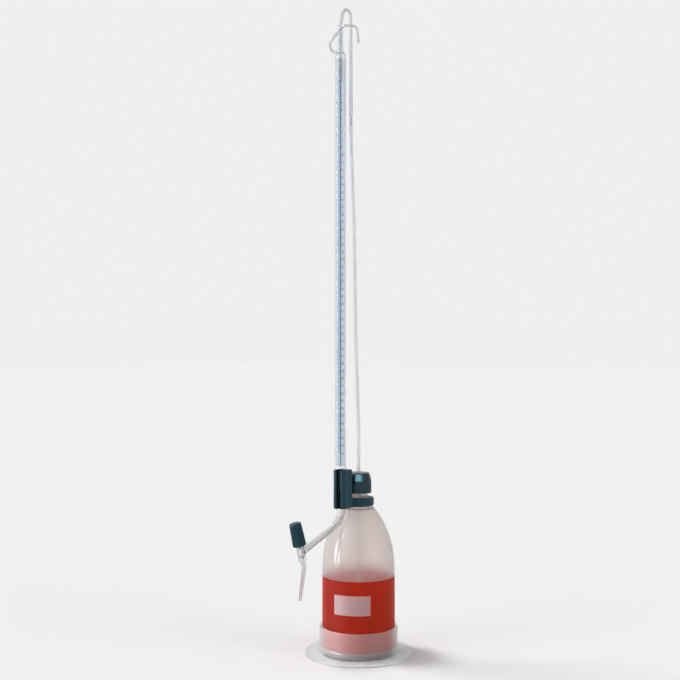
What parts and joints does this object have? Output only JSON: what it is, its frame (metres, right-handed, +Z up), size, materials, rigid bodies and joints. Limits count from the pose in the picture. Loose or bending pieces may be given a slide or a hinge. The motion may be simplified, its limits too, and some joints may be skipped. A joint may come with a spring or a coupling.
{
  "type": "automatic burette",
  "caption": "Automatic burette on a squeeze bottle in a cup foot: glass tube held by a neck clip, riser and gooseneck that set the zero, and a side arm with needle valve and jet.",
  "frame": {"origin": "on the bench, at the middle of the foot's flat underside, under the bottle axis", "axes": "+Z up along the bottle axis; the burette stands on the -X side of the bottle"},
  "size_m": [0.167, 0.138, 0.8257],
  "materials": {
    "foot_plastic": "translucent, satin",
    "bottle_plastic": "translucent, satin",
    "label_red": "printed, satin",
    "panel_white": "matt writing surface",
    "holder_plastic": "moulded, semi-gloss",
    "cap_plastic": "moulded, semi-gloss",
    "seal_rubber": "soft, matt",
    "liner_foam": "soft, matt",
    "riser_plastic": "translucent, satin",
    "clear_glass": "clear, polished",
    "milk_glass": "opaque, polished",
    "blue_line": "opaque, polished",
    "spindle_plastic": "waxy white",
    "ring_rubber": "matt",
    "knob_plastic": "moulded, semi-gloss"
  },
  "bodies": {
    "bottle": {"base_foot": "foot_plastic", "bottle": "bottle_plastic", "label_band": "label_red", "writing_panel": "panel_white"},
    "burette": {"burette_holder": "holder_plastic", "dip_tube": "riser_plastic", "riser_tube": "riser_plastic", "burette_tube": "clear_glass", "stripe_backing": "milk_glass", "stripe_line": "blue_line", "gooseneck": "clear_glass", "vent_tube": "clear_glass", "side_arm": "clear_glass", "valve_barrel": "clear_glass", "jet_tip": "clear_glass"},
    "needle": {"valve_spindle": "spindle_plastic", "spindle_o_rings": "ring_rubber"},
    "knob": {"valve_knob": "knob_plastic"},
    "seal": {"cap_seal": "seal_rubber", "cap_liner": "liner_foam"},
    "cap": {"screw_cap": "cap_plastic"}
  },
  "joints": [
    {"name": "holder_swivel", "type": "hinge", "parent": "bottle", "child": "burette", "pos_m": [0, 0, 0.195], "axis": [0, 0, 1], "continuous": true},
    {"name": "needle_lift", "type": "slide", "parent": "burette", "child": "needle", "axis": [-0.1944, 0.099, 0.9759], "range_m": [0, 0.003]},
    {"name": "knob_turn", "type": "hinge", "parent": "needle", "child": "knob", "pos_m": [-0.08349, 0.0242, 0.13756], "axis": [-0.1944, 0.099, 0.9759], "range_deg": [0, 720]},
    {"name": "cap_lift", "type": "slide", "parent": "bottle", "child": "seal", "axis": [0, 0, 1], "range_m": [0, 0.008]},
    {"name": "cap_turn", "type": "hinge", "parent": "seal", "child": "cap", "pos_m": [0, 0, 0.215], "axis": [0, 0, 1], "range_deg": [0, 720]}
  ],
  "couplings": [
    {"joint": "knob_turn", "follows": "needle_lift", "rad_per_m": 4188.8},
    {"joint": "cap_turn", "follows": "cap_lift", "rad_per_m": 1570.8}
  ]
}
